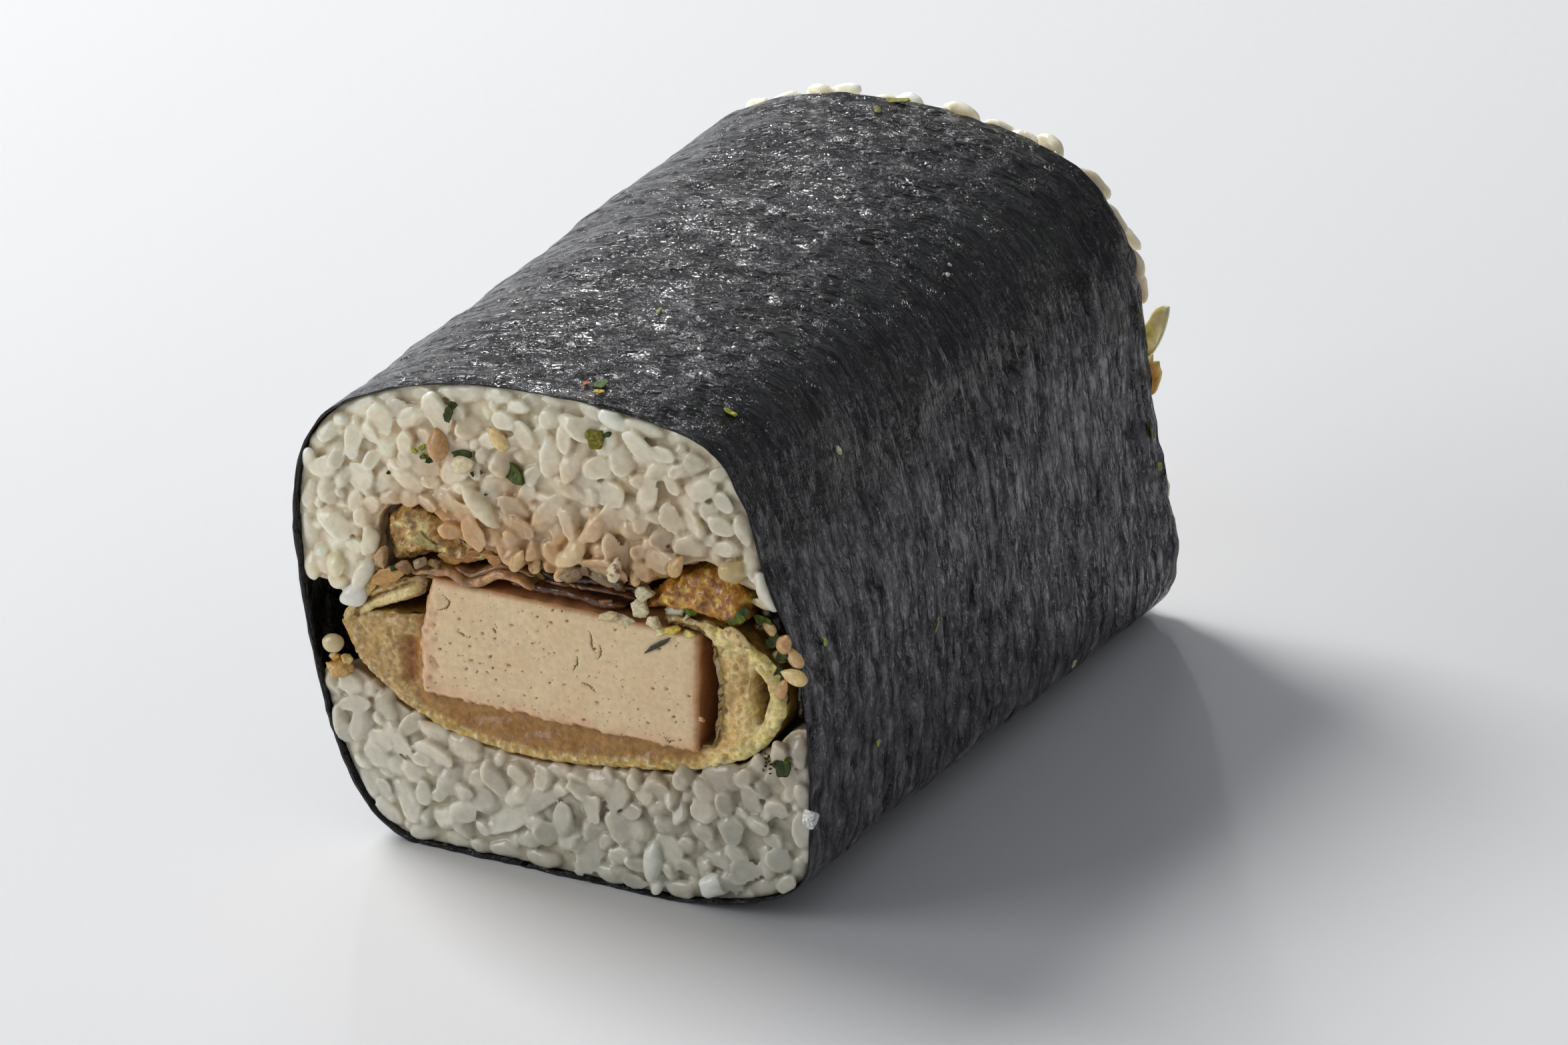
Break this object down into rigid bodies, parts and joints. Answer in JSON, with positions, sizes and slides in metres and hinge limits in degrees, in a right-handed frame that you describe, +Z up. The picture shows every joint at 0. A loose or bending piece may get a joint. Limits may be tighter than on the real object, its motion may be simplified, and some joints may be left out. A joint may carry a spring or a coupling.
{
  "type": "sushi roll",
  "caption": "Half of a thick filled sushi roll in a dark seaweed sheet, cut face forward, with beds of rice round a fried, braised and pored filling.",
  "frame": {"origin": "under the middle of the roll's bounding box, on the plane that it rests on", "axes": "+Z up; +Y along the roll, away from the cut face; +X to the right as seen facing the cut"},
  "size_m": [0.0656, 0.095, 0.0583],
  "materials": {
    "nori": "near-black dried seaweed with a soft grey-violet sheen and fine fibres",
    "rice": "moist translucent white rice, tinted beige by sauce in the middle",
    "rice_plain": "moist translucent white rice",
    "slab": "pinkish beige, cut smooth, with small dark pores",
    "fried_skin": "golden-yellow, porous and slightly oily",
    "fritter": "golden-brown grainy batter",
    "fritter_dark": "golden-brown grainy batter, glazed",
    "braised": "dark brown, wet and translucent",
    "relish": "dark green-brown seaweed and sauce"
  },
  "bodies": {
    "root": {"nori_wrap": "nori", "rice_upper": "rice", "rice_lower": "rice_plain", "pored_slab": "slab", "fried_skin": "fried_skin", "fritter_left": "fritter", "fritter_right": "fritter_dark", "braised_strips": "braised", "seaweed_relish": "relish"}
  },
  "joints": []
}
